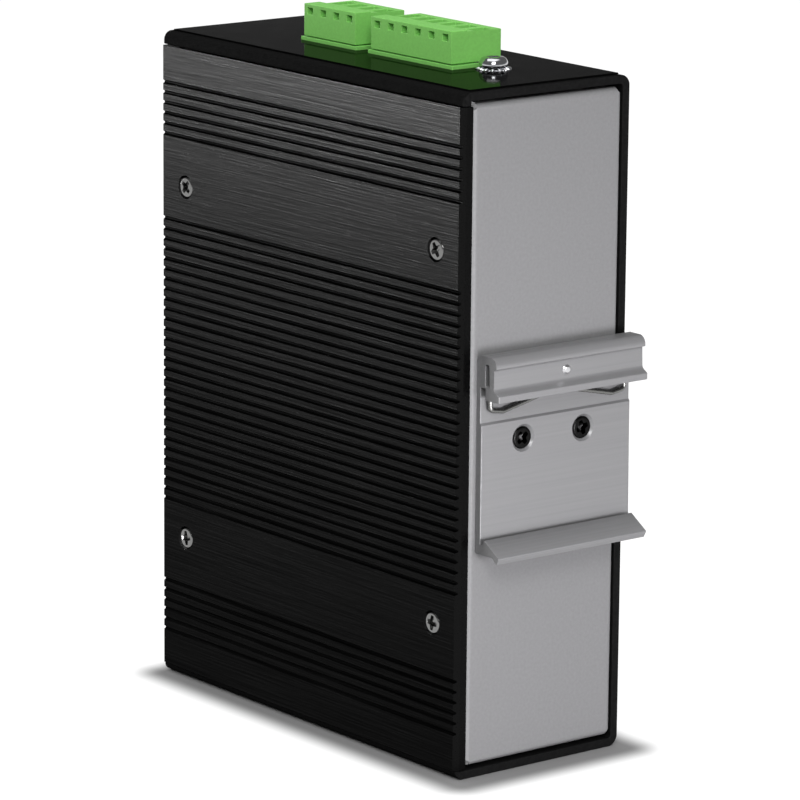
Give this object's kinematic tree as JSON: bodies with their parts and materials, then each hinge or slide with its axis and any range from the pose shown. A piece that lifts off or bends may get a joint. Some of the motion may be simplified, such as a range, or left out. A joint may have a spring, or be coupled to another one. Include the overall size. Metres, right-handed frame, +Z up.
{
  "type": "din rail ethernet switch",
  "caption": "Slim metal housing with one ribbed side, network and fibre sockets in front, green wire plugs on top and a spring-loaded rail clip behind.",
  "frame": {"origin": "middle of the housing's flat bottom face", "axes": "+Z up, +Y towards the rail clip, -Y towards the ports, +X across the housing towards the side where the plugs' test windows are"},
  "size_m": [0.0494, 0.1243, 0.1691],
  "materials": {
    "ribbed_plate": "black anodised and brushed along the ribs",
    "cover_paint": "satin black powder coat",
    "overlay_gloss": "glossy black film",
    "grey_sheet": "plated grey sheet, matt",
    "front_paint": "satin black",
    "clip_metal": "bare extruded aluminium",
    "bright_screw": "nickel plated",
    "black_screw": "blackened steel",
    "spring_steel": "drawn spring wire",
    "plated_part": "tin plated",
    "terminal_plastic": "moulded green",
    "header_plastic": "moulded green",
    "board_laminate": "green solder mask",
    "black_moulding": "moulded black",
    "chip_plastic": "moulded epoxy",
    "pad_rubber": "soft grey thermal pad",
    "spreader_metal": "sawn aluminium bar",
    "shield_metal": "tin plated sheet",
    "contact_metal": "gold flashed",
    "clear_plastic": "clear moulding",
    "lamp_plastic": "clear lamp body",
    "can_sleeve": "shrunk sleeve",
    "winding_tape": "wound and taped",
    "ferrite": "pressed ferrite",
    "relay_case": "moulded case",
    "fuse_body": "glass tube",
    "crystal_can": "drawn can"
  },
  "bodies": {
    "root": {"rib_plate": "ribbed_plate", "housing_wrap": "cover_paint", "rib_plate_screws": "bright_screw", "wrap_side_screws": "black_screw", "wrap_top_screws": "bright_screw", "wrap_bottom_screws": "black_screw", "top_overlay": "overlay_gloss", "rear_panel": "grey_sheet", "front_panel": "front_paint", "ground_screw": "bright_screw", "ground_washer": "bright_screw", "ground_nut": "plated_part", "rail_clip": "clip_metal", "clip_screws": "black_screw", "clip_nuts": "plated_part", "clip_spring": "spring_steel", "spring_pin": "bright_screw", "power_plug": "terminal_plastic", "io_plug": "terminal_plastic", "power_plug_clamps": "plated_part", "io_plug_clamps": "plated_part", "power_plug_screws": "bright_screw", "io_plug_screws": "bright_screw", "power_header": "header_plastic", "io_header": "header_plastic", "power_header_posts": "plated_part", "io_header_posts": "plated_part", "terminal_board": "board_laminate", "main_board": "board_laminate", "board_spacers": "plated_part", "board_standoffs": "plated_part", "terminal_board_screws": "bright_screw", "main_board_screws": "bright_screw", "board_link": "black_moulding", "board_link_pins": "contact_metal", "input_fuse": "fuse_body", "filter_choke": "ferrite", "port_shield": "shield_metal", "port_block": "black_moulding", "port_contacts": "contact_metal", "sfp_cage_1": "shield_metal", "sfp_cage_2": "shield_metal", "sfp_sockets": "black_moulding", "light_guide": "clear_plastic", "status_leds": "lamp_plastic", "switch_chip": "chip_plastic", "line_chips": "chip_plastic", "thermal_pads": "pad_rubber", "heat_spreader": "spreader_metal", "line_transformers": "chip_plastic", "capacitors": "can_sleeve", "power_transformer": "winding_tape", "power_inductors": "ferrite", "alarm_relay": "relay_case", "memory_chips": "chip_plastic", "clock_crystal": "crystal_can"}
  },
  "joints": []
}
